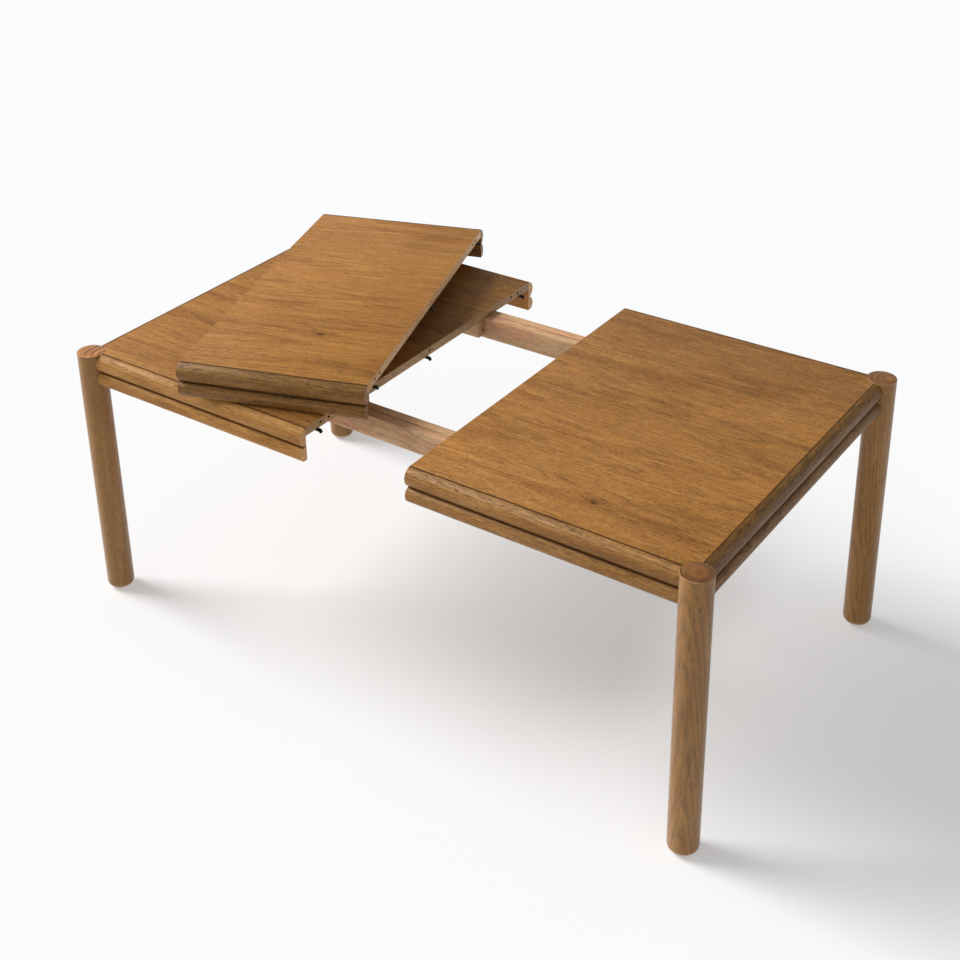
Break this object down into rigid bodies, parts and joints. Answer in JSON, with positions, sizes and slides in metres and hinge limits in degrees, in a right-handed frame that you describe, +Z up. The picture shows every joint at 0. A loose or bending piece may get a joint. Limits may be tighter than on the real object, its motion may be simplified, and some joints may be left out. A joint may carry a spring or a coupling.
{
  "type": "extendable dining table",
  "caption": "Oak extending dining table with round legs and a double-bead apron; the halves part on wooden rails for a loose skirted leaf.",
  "frame": {"origin": "on the floor, at the centre of the whole outline as stored: halfway between the end legs along the table, and 17 mm to the far side of the table's own centre line, because the turned leaf overhangs both sides", "axes": "+X along the table towards the right half, +Y across it towards the far side, +Z up"},
  "size_m": [1.906, 1.1586, 0.8533],
  "materials": {
    "oak_top": "satin stained oak, straight grain along the table",
    "oak_bead": "satin stained oak, lighter and greyer than the top",
    "oak_leg": "satin stained oak, upright grain",
    "slide_wood": "bare beech, planed",
    "inner_wood": "bare hardwood",
    "black_steel": "black coated spring steel",
    "zinc_steel": "zinc plated",
    "glide": "dull nylon"
  },
  "bodies": {
    "left_half": {"left_panel": "oak_top", "left_near_apron": "oak_bead", "left_far_apron": "oak_bead", "left_end_apron": "oak_bead", "left_near_leg": "oak_leg", "left_far_leg": "oak_leg", "left_corner_blocks": "inner_wood", "left_leg_bolts": "zinc_steel", "left_leg_washers": "zinc_steel", "left_leg_nuts": "zinc_steel", "left_glides": "glide", "left_near_rail": "slide_wood", "left_far_rail": "slide_wood", "left_rail_screws": "zinc_steel", "left_stop_pins": "zinc_steel", "left_hooks": "black_steel", "left_hook_screws": "zinc_steel"},
    "right_half": {"right_panel": "oak_top", "right_near_apron": "oak_bead", "right_far_apron": "oak_bead", "right_end_apron": "oak_bead", "right_near_leg": "oak_leg", "right_far_leg": "oak_leg", "right_corner_blocks": "inner_wood", "right_leg_bolts": "zinc_steel", "right_leg_washers": "zinc_steel", "right_leg_nuts": "zinc_steel", "right_glides": "glide", "right_near_rail": "slide_wood", "right_far_rail": "slide_wood", "right_rail_screws": "zinc_steel", "right_stop_pins": "zinc_steel", "right_catches": "black_steel", "right_catch_screws": "zinc_steel", "right_seam_pins": "inner_wood"},
    "near_centre": {"near_centre_rail": "slide_wood", "near_centre_keys": "inner_wood"},
    "far_centre": {"far_centre_rail": "slide_wood", "far_centre_keys": "inner_wood"},
    "leaf": {"leaf_panel": "oak_top", "leaf_near_skirt": "oak_bead", "leaf_far_skirt": "oak_bead", "leaf_hooks": "black_steel", "leaf_hook_screws": "zinc_steel", "leaf_catches": "black_steel", "leaf_catch_screws": "zinc_steel", "leaf_seam_pins": "inner_wood"}
  },
  "joints": [
    {"name": "right_half_slide", "type": "slide", "parent": "left_half", "child": "right_half", "axis": [1, 0, 0], "range_m": [-0.32, 0.2]},
    {"name": "near_centre_slide", "type": "slide", "parent": "left_half", "child": "near_centre", "axis": [1, 0, 0], "range_m": [-0.16, 0.1]},
    {"name": "far_centre_slide", "type": "slide", "parent": "left_half", "child": "far_centre", "axis": [1, 0, 0], "range_m": [-0.16, 0.1]},
    {"name": "leaf_lift", "type": "slide", "parent": "left_half", "child": "leaf", "axis": [0, 0, 1], "range_m": [0, 0.35]}
  ],
  "couplings": [
    {"joint": "near_centre_slide", "follows": "right_half_slide", "ratio": 0.5},
    {"joint": "far_centre_slide", "follows": "right_half_slide", "ratio": 0.5}
  ]
}
